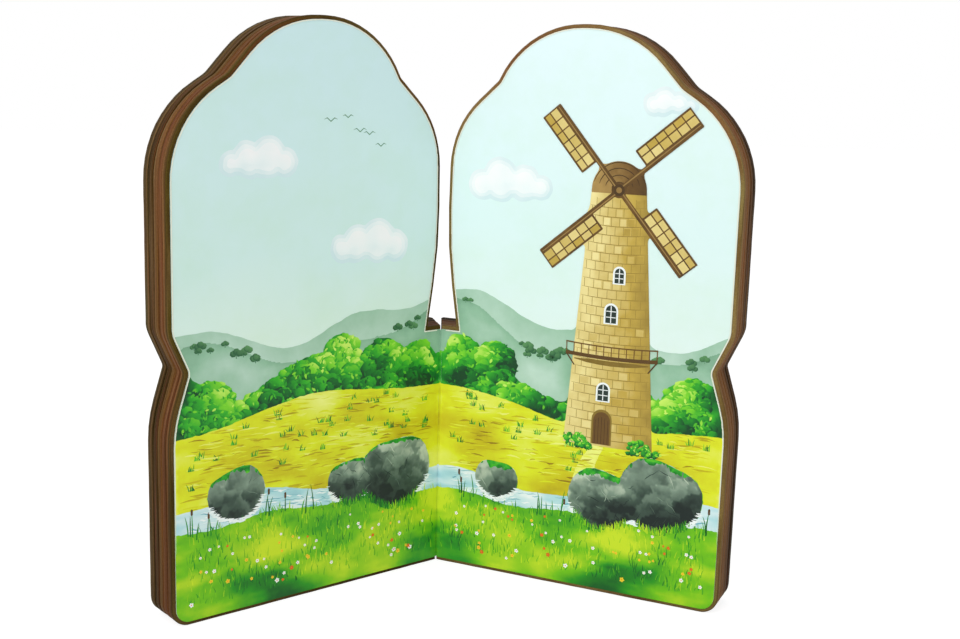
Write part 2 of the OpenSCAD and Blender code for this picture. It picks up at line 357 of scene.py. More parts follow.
def waves(x, y, size, seed):
    """Smooth noise from 0 to 1 over a plane, with lumps of about the given size."""
    x, y = np.asarray(x, float) / size + 1000, np.asarray(y, float) / size + 1000
    i, j = np.floor(x).astype(np.int64), np.floor(y).astype(np.int64)
    a, b = x - i, y - j
    a, b = a * a * (3 - 2 * a), b * b * (3 - 2 * b)
    low = hashed(i, j, seed) * (1 - a) + hashed(i + 1, j, seed) * a
    high = hashed(i, j + 1, seed) * (1 - a) + hashed(i + 1, j + 1, seed) * a
    return low * (1 - b) + high * b


def clouds_of(x, y, size, seed, octaves=3):
    """Noise of several sizes, from about 0 to 1."""
    total, share = 0, 0
    for k in range(octaves):
        total = total + waves(x, y, size / 2 ** k, seed + 17 * k) / 2 ** k
        share += 1 / 2 ** k
    return total / share


EDGE_R = 0.7  # radius of a foam board's edges
GROOVE_D = 1.0  # depth of the groove between two foam pages
ROUND_STEPS = 4


def board_profile(front, back, hollow):
    """(t, inset) of one foam board's cut edge: two soft corners and a shallow hollow between them."""
    turn = [math.pi / 2 * k / ROUND_STEPS for k in range(ROUND_STEPS + 1)]
    first = [(front + EDGE_R * (1 - math.cos(a)), EDGE_R * (1 - math.sin(a))) for a in turn]
    last = [(back - EDGE_R * (1 - math.cos(a)), EDGE_R * (1 - math.sin(a))) for a in reversed(turn)]
    return first + [((front + back) / 2, hollow)] + last


def page_block(label, side, material):
    """Four foam pages with grooves between them and a slanted spine end."""
    path = open_outline(label + "_page_block", side, PAGE_LEVELS[0], 2.0)
    spine_front = path[0, 0]
    spine_back = outer_loop(label + "_page_block", side, PAGE_LEVELS[-1])[:, 0].min()
    slope = (spine_back - spine_front) / (PAGE_LEVELS[-1] - PAGE_LEVELS[0])
    along = np.arange(len(path)) * 2.0
    rings = []
    for page, (front, back) in enumerate(zip(PAGE_LEVELS[::2], PAGE_LEVELS[1::2])):
        shift = 0.35 * waves(along, page * 5.0, 60, 3 + page) if page else 0 * along
        for t, inset in board_profile(front, back, 0.12):
            ripple = 0.10 * waves(along, t, 5, 11 + page)
            rings.append((t, inset + shift + ripple, spine_front + slope * (t - PAGE_LEVELS[0])))
        if page < len(PAGE_LEVELS) // 2 - 1:
            for t in (back + 0.1, back + 0.3):
                rings.append((t, 0 * along + GROOVE_D + 0.35, spine_front + slope * (t - PAGE_LEVELS[0])))
    made = loft(label + "_foam_pages", side, path, rings, material)
    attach(made, label + "_half")
    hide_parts(label + "_page_block")
    return made


def cover(label, side, material):
    """A foam cover with a round spine end."""
    path = open_outline(label + "_cover", side, COVER_LEVELS[0], 2.0)
    along = np.arange(len(path)) * 2.0
    end_r = (COVER_BACK - COVER_FACE) / 2
    front, back = COVER_FACE, COVER_BACK
    rings = []
    for t, inset in board_profile(front, back, 0.12):
        reach = math.sqrt(max(end_r ** 2 - (t - HINGE_T) ** 2, 0))
        ripple = 0.25 * waves(along, 3, 70, 31) + 0.10 * waves(along, t, 5, 37)
        rings.append((t, inset + ripple, HINGE_U - reach))
    made = loft(label + "_foam_cover", side, path, rings, material)
    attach(made, label + "_cover")
    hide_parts(label + "_cover")
    return made


# Printed sheets

GLOSS = {"Roughness": 0.32, "Specular IOR Level": 0.22, "Coat Weight": 0.06, "Coat Roughness": 0.12}


def gloss_surface(tree, place, color):
    """A laminated surface with a faint orange peel."""
    surface(tree, color, noise(tree, place, 500, 2.0), 0.012, **GLOSS)


def sheet_material(name, stops):
    """A laminated print whose colour changes softly with height, with faint patches."""
    material, tree = new_material(name)
    place = place_in_frame(tree)
    z = height_above_floor(tree, place)
    share = node(tree, "MapRange", {"Value": z, "From Max": BOOK_H * MM}).outputs[0]
    drift = math_node(tree, "SUBTRACT", noise(tree, place, 14, 3.0), 0.5)
    moved = math_node(tree, "MULTIPLY_ADD", drift, 0.12, share)
    color = ramp(tree, moved, [(p, srgb(*rgb)) for p, rgb in stops])
    tint = noise(tree, place, 38, 4.0, 0.6)
    color = fade(tree, color, darker(tree, color, 244, 250, 234), tint, (0.42, 0), (0.75, 0.5))
    gloss_surface(tree, place, color)
    return material


GRAIN, GRAIN_SIZE = 0.16, 260


def tone_material(name, stops):
    """A print whose shade comes from the tone painted on the mesh, with a fine grain."""
    material, tree = new_material(name)
    place = place_in_frame(tree)
    tone = node(tree, "Attribute", attribute_name="tone").outputs["Fac"]
    fine = math_node(tree, "SUBTRACT", noise(tree, place, GRAIN_SIZE, 3.0, 0.6), 0.5)
    value = math_node(tree, "MULTIPLY_ADD", fine, GRAIN, tone)
    gloss_surface(tree, place, ramp(tree, value, [(p, srgb(*rgb)) for p, rgb in stops]))
    return material


# The picture: a grid over the page, on which shapes are heights that are positive inside them

STEP = 0.5
GRID_U = np.arange(0, HALF_W + 2 * STEP, STEP)
GRID_Z = np.arange(0, BOOK_H + STEP, STEP)
U, Z = np.meshgrid(GRID_U, GRID_Z)


def distance_to(loops, margin=12.0):
    """Signed distance to closed outlines on the grid, positive inside and cut off past a margin."""
    every = np.concatenate(loops)
    rows = (GRID_Z > every[:, 1].min() - margin) & (GRID_Z < every[:, 1].max() + margin)
    u, z = U[rows], Z[rows]
    near, inside = np.full(u.shape, margin ** 2), np.zeros(u.shape, bool)
    for loop in loops:
        for (ua, za), (ub, zb) in zip(loop, np.roll(loop, -1, axis=0)):
            du, dz = ub - ua, zb - za
            long = du * du + dz * dz
            if long == 0:
                continue
            share = np.clip(((u - ua) * du + (z - za) * dz) / long, 0, 1)
            near = np.minimum(near, (u - ua - share * du) ** 2 + (z - za - share * dz) ** 2)
            if dz:
                crosses = (za > z) != (zb > z)
                inside ^= crosses & (u < ua + (z - za) * du / dz)
    found = np.full(U.shape, -margin)
    found[rows] = np.where(inside, 1, -1) * np.sqrt(near)
    return found


FIELDS = ("clouds", "hills", "hedge", "field", "brook", "meadow", "boulders")
shapes = {}
for label, side in SIDES.items():
    shapes[label, "page"] = distance_to([outer_loop(label + "_page_sheet", side, SHEET_FACE)])
    for field in FIELDS:
        shapes[label, field] = distance_to(face_loops(f"{label}_{field}", side, INK_FACE))
shapes["right", "mill"] = distance_to(face_loops("windmill", 1, INK_FACE))
shapes["right", "sails"] = distance_to(face_loops("windmill_sails", 1, INK_FACE))


def read(values, u, z):
    """Values of a grid at any points of the page."""
    c = np.clip(np.asarray(u, float) / STEP, 0, len(GRID_U) - 1.001)
    r = np.clip(np.asarray(z, float) / STEP, 0, len(GRID_Z) - 1.001)
    i, j = r.astype(int), c.astype(int)
    a, b = r - i, c - j
    return ((values[i, j] * (1 - b) + values[i, j + 1] * b) * (1 - a)
            + (values[i + 1, j] * (1 - b) + values[i + 1, j + 1] * b) * a)


def outline_of(height):
    """Points and edges of the curves at which a height on the grid is zero."""
    h = height.copy()
    h[[0, -1]] = h[:, [0, -1]] = -1
    inside = h > 0
    flat = inside[:, :-1] != inside[:, 1:]
    tall = inside[:-1] != inside[1:]
    flat_id, tall_id = np.full(flat.shape, -1), np.full(tall.shape, -1)
    flat_id[flat] = np.arange(flat.sum())
    tall_id[tall] = np.arange(tall.sum()) + flat.sum()
    i, j = np.nonzero(flat)
    share = np.clip(h[i, j] / (h[i, j] - h[i, j + 1]), 0.08, 0.92)
    first = np.stack([(j + share) * STEP, i * STEP], -1)
    i, j = np.nonzero(tall)
    share = np.clip(h[i, j] / (h[i, j] - h[i + 1, j]), 0.08, 0.92)
    second = np.stack([j * STEP, (i + share) * STEP], -1)
    ids = np.stack([flat_id[:-1], tall_id[:, 1:], flat_id[1:], tall_id[:, :-1]], -1).reshape(-1, 4)
    middle = (h[:-1, :-1] + h[1:, :-1] + h[:-1, 1:] + h[1:, 1:]).reshape(-1)
    low_left = inside[:-1, :-1].reshape(-1)
    count = (ids >= 0).sum(1)
    two = ids[count == 2]
    edges = [two[two >= 0].reshape(-1, 2)]
    for (b, r, t, l), centre, corner in zip(ids[count == 4], middle[count == 4], low_left[count == 4]):
        joined = (centre > 0) == corner
        edges.append(np.array([[b, r], [t, l]] if joined else [[b, l], [t, r]]))
    return np.concatenate([first, second]), np.concatenate(edges)


class Picture:
    """Thin closed prisms that lie on a page sheet like ink, each with a tone at its points."""

    def __init__(self, label):
        self.label, self.side = label, SIDES[label]
        self.points, self.tones, self.faces, self.looks = [], [], [], []
        self.count = 0

    def add(self, outline, triangles, tones, level, look, lift=0.0):
        """A prism with front faces counterclockwise in u and z, lifted by a share of a layer."""
        front = SHEET_FACE - (level + 1 + lift) * LAYER
        n = len(outline)
        for t in (front, front + LAYER):
            self.points.append(to_world(self.side, outline[:, 0], t, outline[:, 1]))
            self.tones.append(np.broadcast_to(tones, n))
        once = {}
        for face in triangles:
            for a, b in zip(face, (*face[1:], face[0])):
                if (b, a) in once:
                    del once[(b, a)]
                else:
                    once[(a, b)] = True
        faces = [tuple(face) for face in triangles]
        faces += [tuple(c + n for c in reversed(face)) for face in triangles]
        faces += [(b, a, a + n, b + n) for a, b in once]
        if self.side < 0:
            faces = [face[::-1] for face in faces]
        self.faces += [tuple(c + self.count for c in face) for face in faces]
        self.looks += [look] * len(faces)
        self.count += 2 * n

    def paint(self, height, tone, level, look=0, grain=3.0):
        """A prism over the part of the page where a height is positive; tone is a function of u and z."""
        points, edges = outline_of(height)
        if not len(points):
            return
        lo, hi = points.min(0), points.max(0)
        columns, rows = np.meshgrid(*(np.arange(a, b, grain) for a, b in zip(lo, hi)))
        shifted = columns + (np.arange(len(rows)) % 2)[:, None] * grain / 2
        dots = np.stack([shifted.ravel(), rows.ravel()], -1)
        dots = dots[read(height, dots[:, 0], dots[:, 1]) > 0.6 * STEP]
        every = np.concatenate([points, dots])
        cells = delaunay_2d_cdt([Vector(p) for p in every.tolist()], edges.tolist(), [], 1, 1e-5)
        made = np.array([tuple(p) for p in cells[0]])
        triangles = np.array(cells[2])
        middle = made[triangles].mean(1)
        triangles = triangles[read(height, middle[:, 0], middle[:, 1]) > 0]
        p, q, r = (made[triangles[:, k]] for k in range(3))
        turned = (q[:, 0] - p[:, 0]) * (r[:, 1] - p[:, 1]) - (q[:, 1] - p[:, 1]) * (r[:, 0] - p[:, 0]) < 0
        triangles[turned] = triangles[turned][:, ::-1]
        used, packed = np.unique(triangles, return_inverse=True)
        made = made[used]
        self.add(made, packed.reshape(-1, 3).tolist(), tone(made[:, 0], made[:, 1]), level, look)

    def dab(self, corners, tone, level, look=0, lift=0.0):
        """One small flat shape with its own tone, its corners counterclockwise."""
        corners = np.asarray(corners, float)
        if area(corners) < 0:
            corners = corners[::-1]
        self.add(corners, [tuple(range(len(corners)))], tone, level, look, lift)

    def stroke(self, path, widths, tone, level, look=0, lift=0.0):
        """A brush stroke along a path, with its width at each point."""
        path, widths = np.asarray(path, float), np.asarray(widths, float)
        side = inward(path) * widths[:, None] / 2
        n = len(path)
        outline = np.concatenate([path - side, (path + side)[::-1]])
        faces = [(i, i + 1, 2 * n - 2 - i, 2 * n - 1 - i) for i in range(n - 1)]
        self.add(outline, faces, tone, level, look, lift)

    def finish(self, name, slot, materials, *stands_for):
        mesh = bpy.data.meshes.new(name)
        mesh.from_pydata(np.concatenate(self.points).tolist(), [], self.faces)
        mesh.polygons.foreach_set("material_index", self.looks)
        mesh.attributes.new("tone", "FLOAT", "POINT").data.foreach_set("value", np.concatenate(self.tones))
        mesh.update()
        made = new_object(name, mesh, *materials)
        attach(made, self.label + "_half")
        if stands_for:
            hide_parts(*stands_for)
        return made


LAYER = 0.012  # thickness of one layer of ink
CLOUD, BIRD, HILL, TREE, HEDGE, CLUMP, LEAF = 0, 3, 3, 4, 5, 6, 8
FIELD, STRAW, BROOK, RIPPLE, MEADOW, GRASS, STONE, CRACK = 9, 10, 11, 12, 13, 14, 15, 16
TOWER, TRIM, SAIL, CLOTH = 15, 17, 18, 19
FAR_TREES, HEDGE_TUFTS, HEDGE_LEAVES, STRAWS, GRASS_TUFTS, RIPPLES = 34, 330, 1500, 620, 70, 420
BLADES, REEDS, FLOWERS, CRACKS, FOOT_STROKES, BUSH_TUFTS, BUSH_LEAVES = 1300, 46, 74, 34, 420, 22, 110
LAND = ["hills", "hedge", "field", "brook", "meadow", "boulders"]
RAGGED = {"hills": (7, 1.2, 21), "hedge": (3.2, 2.4, 31), "field": (2.4, 0.8, 41), "brook": (3, 0.8, 51),
          "meadow": (2, 1.0, 61), "boulders": (4, 0.8, 71)}  # size, swing and seed of each ragged edge


def smooth_union(a, b, span=3.0):
    """The larger of two heights, with the corner between them filled."""
    near = np.maximum(span - np.abs(a - b), 0) / span
    return np.maximum(a, b) + near * near * span / 4


def ragged(label, name):
    """A field and all that lies in front of it but the windmill, with a ragged edge."""
    size, swing, seed = RAGGED[name]
    names = LAND[LAND.index(name):]
    height = np.maximum.reduce([shapes[label, n] for n in names]) + 0.3
    return height + swing * (clouds_of(U, Z, size, seed) - 0.5)


def land_under(label, name):
    """A field and all that lies in front of it, inside the page."""
    height = ragged(label, name)
    if label == "right" and name in ("hills", "hedge", "field"):
        mill = np.maximum(shapes["right", "mill"], shapes["right", "sails"])
        height = smooth_union(height, mill - 0.3)
    return np.minimum(height, shapes[label, "page"])


def crest_of(label, name):
    """The top of a field in each column of the grid, bridged behind the windmill and past the ledge."""
    page = shapes[label, "page"]
    tops = np.where(np.minimum(ragged(label, name), page) > 0, Z, 0).max(0)
    behind = label == "right" and name in ("hills", "hedge", "field")
    free = (shapes["right", "mill"] < -1).all(0) | (not behind)
    if name == "hills":
        ledge = GRID_Z[page[:, 5] > 0].max()
        free &= page[int((ledge + 3) / STEP)] > 0
    return np.interp(GRID_U, GRID_U[free], tops[free])


land = {(label, name): land_under(label, name) for label in SIDES for name in LAND}
crests = {(label, name): crest_of(label, name) for label in SIDES for name in LAND}
ridges = {label: np.minimum(crests[label, "hills"] - 3 - 15 * waves(GRID_U, 0 * GRID_U, 42, 25) - Z,
                            land[label, "hills"]) for label in SIDES}


def below_crest(label, name, u, z, span):
    """0 at the top of a field to 1 a given span under it."""
    return np.clip((np.interp(u, GRID_U, crests[label, name]) - z) / span, 0, 1)


def lit(height, u, z, reach):
    """How much a rounded mass turns to the light from the upper left, from about -1 to 1."""
    return (read(height, u + reach, z - reach) - read(height, u - reach, z + reach)) / (3 * reach)


# The tone of each field at points of a page

def hill_tone(label, u, z):
    haze = 0.62 + 0.3 * below_crest(label, "hills", u, z, 30)
    return haze + 0.4 * (clouds_of(u, z, 14, 23) - 0.5)


def ridge_tone(label, u, z):
    return hill_tone(label, u, z) - 0.36 + 0.26 * np.clip(read(ridges[label], u, z) / 9, 0, 1)


def hedge_tone(label, u, z):
    soft = 1.0 * (clouds_of(u, z, 11, 33) - 0.5) + 0.5 * (clouds_of(u, z, 3, 35) - 0.5)
    return 0.36 + 0.3 * lit(land[label, "hedge"], u, z, 2.5) + soft


def field_tone(label, u, z):
    return 0.74 - 0.24 * below_crest(label, "field", u, z, 14) + 0.8 * (clouds_of(u, z * 2.5, 22, 43) - 0.5)


def brook_tone(label, u, z):
    return 0.6 + 0.9 * (clouds_of(u, z * 4, 16, 53) - 0.5)


def meadow_tone(label, u, z):
    patches = 1.5 * (clouds_of(u, z * 2.4, 30, 63) - 0.5) + 0.3 * (clouds_of(u, z * 3, 8, 65) - 0.5)
    return 0.55 + patches - 0.2 * np.clip(1 - z / 16, 0, 1)


def facets(u, z, size, seed):
    """A value from 0 to 1 for each of many uneven cells, like the planes of a broken stone."""
    u, z = np.asarray(u, float) / size + 100, np.asarray(z, float) / size + 100
    i, j = np.floor(u).astype(np.int64), np.floor(z).astype(np.int64)
    near, value = np.full(u.shape, np.inf), np.zeros(u.shape)
    for di in (-1, 0, 1):
        for dj in (-1, 0, 1):
            a, b = i + di, j + dj
            away = (u - a - hashed(a, b, seed)) ** 2 + (z - b - hashed(a, b, seed + 1)) ** 2
            value = np.where(away < near, hashed(a, b, seed + 2), value)
            near = np.minimum(near, away)
    return value


def stone_tone(label, u, z):
    planes = 0.34 * (facets(u, z * 1.2, 6.0, 75) - 0.5) + 0.18 * (facets(u, z, 2.6, 78) - 0.5)
    height = 0.5 - 0.42 * below_crest(label, "boulders", u, z, 26)
    turned = 0.30 * lit(land[label, "boulders"], u, z, 2.6)
    return 0.12 + height + turned + planes + 0.25 * (clouds_of(u, z, 5, 73) - 0.5)


TONES = {"hills": hill_tone, "hedge": hedge_tone, "field": field_tone, "brook": brook_tone,
         "meadow": meadow_tone, "boulders": stone_tone}


# Small motifs, with their corners in u and z

def leaf(u, z, long, wide, turn):
    """A pointed leaf."""
    c, s = math.cos(turn), math.sin(turn)
    shape = [(0, 0), (0.3, -0.5), (0.65, -0.42), (1, 0), (0.65, 0.42), (0.3, 0.5)]
    return [(u + c * a * long - s * b * wide, z + s * a * long + c * b * wide) for a, b in shape]


def clump(picture, u, z, radius, tone, level, look, lift, rng):
    """A scalloped tuft of leaves, light at its upper left and dark at its lower right."""
    count, start = 18, rng.uniform(0, math.tau)
    turns = [math.tau * k / count for k in range(count)]
    rim = [radius * (0.84 + 0.16 * abs(math.sin(3.5 * a + start))) for a in turns]
    outline = [(u + r * math.cos(a), z + r * 0.86 * math.sin(a)) for a, r in zip(turns, rim)]
    tones = [tone + 0.30 * math.cos(a - 0.7 * math.pi) - 0.08 for a in turns]
    inner = [(u + 0.5 * r * math.cos(a), z + 0.43 * r * math.sin(a)) for a, r in zip(turns, rim)]
    inner_tones = [tone + 0.10 * math.cos(a - 0.7 * math.pi) + 0.04 for a in turns]
    faces = []
    for k in range(count):
        n = (k + 1) % count
        faces += [(k, n, count + n, count + k), (count + k, count + n, 2 * count)]
    points = np.array(outline + inner + [(u, z)])
    picture.add(points, faces, np.array(tones + inner_tones + [tone + 0.08]), level, look, lift)


def curve(u, z, long, rise, bow, count=4):
    """A slightly bowed path from left to right."""
    shares = [k / (count - 1) - 0.5 for k in range(count)]
    return [(u + long * q, z + rise * q + bow * (1 - 4 * q * q)) for q in shares]


def arch(u, z, wide, tall):
    """A door or window with a round top, u and z at the middle of its foot."""
    r = wide / 2
    turns = [math.pi * k / 10 for k in range(11)]
    return [(u - r, z), (u + r, z)] + [(u + r * math.cos(a), z + tall - r + r * math.sin(a)) for a in turns]


def disc(u, z, radius, step):
    return [(u + radius * math.cos(a), z + radius * math.sin(a)) for a in np.arange(0, 6.2, step)]


def blade(picture, u, z, long, lean, wide, tone, level, look, lift):
    """A blade of grass with its foot at u and z."""
    path = [(u + lean * q * q, z + long * q) for q in (0, 0.35, 0.7, 1)]
    picture.stroke(path, [wide, wide, wide * 0.6, 0.05], tone, level, look, lift)


def top_of(height, u):
    """The highest z at which a height is positive over one u."""
    column = height[:, int(round(u / STEP))]
    return GRID_Z[column > 0].max() if (column > 0).any() else 0.0


def reach_of(height, z):
    """The lowest and highest u at which a height is positive in one row."""
    inside = GRID_U[height[int(round(z / STEP))] > 0]
    return inside.min(), inside.max()


def scatter(rng, count, z_span, free, u_span=(2, HALF_W)):
    """Up to a number of spots at random, each with its turn; the taken ones are those that are free."""
    for k in range(count):
        u, z = rng.uniform(*u_span), rng.uniform(*z_span)
        if free(u, z):
            yield k, u, z


def on_land(label, name, u, z):
    """Whether a spot is in the part of a field that shows, or just past its edge."""
    return read(shapes[label, name], u, z) > -1.0


def clear_of_edge(label, u, z, rim):
    page = shapes[label, "page"]
    return read(page, u, z) > rim or u < rim and read(page, u + rim, z) > rim


# The picture's parts

def paint_sky(label, looks, rng):
    picture = Picture(label)
    cloud = shapes[label, "clouds"] + 2.6 * (clouds_of(U, Z, 9, 5) - 0.45)
    for k, cut in enumerate((-1.4, 0.2, 1.8)):
        def tone(u, z):
            return 0.18 + 0.26 * k + 0.25 * lit(cloud, u, z, 2.0) + 0.4 * (clouds_of(u, z, 10, 9) - 0.5)
        picture.paint(np.minimum(cloud - cut, shapes[label, "page"]), tone, CLOUD + k, grain=1.5)
    if label == "left":
        for k in range(5):
            u, z = 34 + 7 * k + rng.uniform(-2, 2), 199 + 3.5 * k + rng.uniform(-3, 3)
            span = rng.uniform(2.4, 4.0)
            wing = [(-1, 0.35), (-0.55, 0.62), (0, 0), (0.55, 0.62), (1, 0.35)]
            path = [(u + a * span, z + b * span * 0.7) for a, b in wing]
            picture.stroke(path, [0.08, 0.42, 0.5, 0.42, 0.08], 0.1, BIRD, 1)
    picture.finish(label + "_cloud_print", "white_print", [looks["cloud"], looks["hill"]], label + "_clouds")


def paint_hills(label, looks, rng):
    picture = Picture(label)
    hills = land[label, "hills"]
    picture.paint(hills, lambda u, z: hill_tone(label, u, z), HILL, grain=2.0)
    ridge = ridges[label]
    picture.paint(ridge, lambda u, z: ridge_tone(label, u, z), TREE, grain=2.0)
    for k in range(FAR_TREES):
        u = rng.uniform(3, HALF_W - 6)
        foot = top_of(ridge, u) + rng.uniform(-4.0, 0.2)
        if clear_of_edge(label, u, foot, 4) and read(land[label, "hedge"], u, foot) < -2:
            size, tone = rng.uniform(0.9, 2.0), rng.uniform(0.0, 0.25)
            picture.stroke([(u, foot - 0.4), (u, foot + size)], [0.5, 0.3], tone - 0.1, TREE, 0, 0.2)
            for place in ((0, 1.3), (-0.7, 0.9), (0.7, 0.9)):
                clump(picture, u + size * place[0], foot + size * place[1], size * 0.9, tone + 0.08, TREE, 1,
                      rng.uniform(0.3, 0.95), rng)
    picture.finish(label + "_hill_print", "grey_green_print", [looks["hill"], looks["far_leaf"]],
                   label + "_hills")


def paint_hedge(label, looks, rng):
    picture = Picture(label)
    hedge = land[label, "hedge"]
    picture.paint(hedge, lambda u, z: hedge_tone(label, u, z) - 0.12, HEDGE, grain=1.4)
    tufts = []
    while len(tufts) < HEDGE_TUFTS:
        u, z = rng.uniform(0.5, HALF_W), rng.uniform(70, 140)
        inside = float(read(hedge, u, z))
        if inside > 1.0 and u > 5 and on_land(label, "hedge", u, z):
            tufts.append((z, u, min(rng.uniform(2.0, 5.0), inside + 1.2)))
    for k, (z, u, radius) in enumerate(sorted(tufts, reverse=True)):
        if not clear_of_edge(label, u, z, radius + 0.3):
            continue
        tone = float(hedge_tone(label, u, z)) + rng.uniform(-0.14, 0.14)
        clump(picture, u, z, radius, tone, CLUMP, 0, 1.8 * k / len(tufts), rng)

    def free(u, z):
        return read(hedge, u, z) > 0.2 and clear_of_edge(label, u, z, 3) and on_land(label, "hedge", u, z)

    for k, u, z in scatter(rng, HEDGE_LEAVES, (70, 140), free):
        tone = float(hedge_tone(label, u, z)) + rng.uniform(-0.2, 0.4)
        long = rng.uniform(1.2, 2.8)
        corners = leaf(u, z, long, long * 0.45, rng.uniform(0, math.tau))
        picture.dab(corners, tone, LEAF, 0, 0.9 * k / HEDGE_LEAVES)
    picture.finish(label + "_hedge_print", "leaf_print", [looks["leaf"]], label + "_hedge")


def paint_field(label, looks, rng):
    picture = Picture(label)
    field = land[label, "field"]
    picture.paint(field, lambda u, z: field_tone(label, u, z), FIELD, grain=2.0)
    if label == "right":
        foot = Z[shapes["right", "mill"] > 0].min()
        fall = np.clip(foot + 2 - Z, 0, 60)
        away = np.abs(U - MILL_U + 3 + 8 * np.sin(fall / 13))
        path = 2.6 + 0.12 * fall - away + 1.6 * (clouds_of(U, Z, 3, 49) - 0.5)
        path = np.minimum(np.minimum(path, field - 0.4), foot + 1 - Z)
        picture.paint(path, lambda u, z: 0.92 + 0.4 * (clouds_of(u, z * 2, 4, 47) - 0.5), STRAW, grain=1.5)

    def free(u, z, inside=0.8):
        clear = clear_of_edge(label, u, z, 7) and on_land(label, "field", u, z)
        return clear and read(field, u, z) > inside and u > 6

    for _, u, z in scatter(rng, STRAWS, (48, 96), free):
        long, wide = rng.uniform(3, 11), rng.uniform(0.25, 0.9)
        path = curve(u, z, long, rng.uniform(-0.6, 1.2), rng.uniform(-0.5, 0.7))
        tone = float(field_tone(label, u, z)) + rng.uniform(-0.45, 0.3)
        picture.stroke(path, [0.05, wide, wide * 0.8, 0.05], tone, STRAW, 0, rng.uniform(0.05, 0.9))
    for _, u, z in scatter(rng, GRASS_TUFTS, (50, 92), lambda u, z: free(u, z, 2.5), (6, HALF_W - 6)):
        for q in range(6):
            lean, long = rng.uniform(-1.5, 1.5), rng.uniform(1.4, 3.4)
            foot = u + 0.5 * q - 1.5
            path = [(foot, z), (foot + lean * 0.4, z + long * 0.6), (foot + lean, z + long)]
            picture.stroke(path, [0.45, 0.35, 0.05], rng.uniform(0.1, 0.7), STRAW, 1, rng.uniform(0.1, 0.9))
    picture.finish(label + "_field_print", "yellow_print", [looks["field"], looks["leaf"]], label + "_field")


def paint_brook(label, looks, rng):
    picture = Picture(label)
    picture.paint(land[label, "brook"], lambda u, z: brook_tone(label, u, z), BROOK, grain=1.4)

    def free(u, z):
        return read(shapes[label, "brook"], u, z) > 0.5 and clear_of_edge(label, u, z, 6) and u > 5

    for _, u, z in scatter(rng, RIPPLES, (30, 60), free):
        long, wide = rng.uniform(2, 9), rng.uniform(0.2, 0.65)
        path = [(u + long * q, z + 0.35 * math.sin(5 * q)) for q in (-0.5, -0.17, 0.17, 0.5)]
        tone = rng.choice((0.05, 0.25, 0.95, 1.0))
        picture.stroke(path, [0.05, wide, wide, 0.05], tone, RIPPLE, 0, rng.uniform(0.05, 0.9))
    picture.finish(label + "_brook_print", "water_print", [looks["water"]], label + "_brook")


def paint_meadow(label, looks, rng):
    picture = Picture(label)
    meadow = land[label, "meadow"]
    picture.paint(meadow, lambda u, z: meadow_tone(label, u, z), MEADOW, grain=1.6)

    def free(u, z, inside=0.3, rim=5):
        return read(meadow, u, z) > inside and clear_of_edge(label, u, z, rim)

    for _, u, z in scatter(rng, BLADES, (3, 44), free):
        long, lean, wide = rng.uniform(1.6, 5.0), rng.uniform(-1.4, 1.4), rng.uniform(0.25, 0.6)
        tone = float(meadow_tone(label, u, z)) + rng.uniform(-0.4, 0.3)
        blade(picture, u, z, long, lean, wide, tone, GRASS, 0, rng.uniform(0.0, 0.5))
    for k in range(REEDS):
        u = rng.uniform(5, HALF_W - 5)
        z = top_of(shapes[label, "meadow"], u) - rng.uniform(0.5, 2.5)
        if clear_of_edge(label, u, z, 5) and read(shapes[label, "boulders"], u, z + 6) < -2:
            long, lean = rng.uniform(6, 12), rng.uniform(-2.0, 2.0)
            path = [(u + lean * q * q, z + long * q) for q in (0, 0.3, 0.6, 0.85, 1)]
            picture.stroke(path, [0.6, 0.55, 0.45, 0.3, 0.08], rng.uniform(0.0, 0.35), GRASS, 0, 0.6)
            if k % 3 == 0:
                head = [(u + lean, z + long + q) for q in (-1.4, -1.0, 1.0, 1.4)]
                picture.stroke(head, [0.3, 1.0, 1.0, 0.3], 0.25, GRASS, 2, 0.8)
    for _, u, z in scatter(rng, FLOWERS, (6, 34), lambda u, z: free(u, z, 2, 6), (6, HALF_W - 6)):
        size, tone = rng.uniform(0.7, 1.2) * (1.25 - z / 60), rng.choice((0.05, 0.5, 0.5, 0.95, 1.0))
        for q in range(5):
            turn = math.tau * q / 5 + rng.uniform(-0.2, 0.2)
            picture.dab(leaf(u, z, size, size * 0.8, turn), tone, GRASS, 1, 0.84 + 0.02 * q)
        picture.dab(disc(u, z, 0.28 * size, 0.9), 0.32, GRASS, 1, 0.97)
    picture.finish(label + "_meadow_print", "meadow_print", [looks["meadow"], looks["bloom"], looks["sail"]],
                   label + "_meadow")


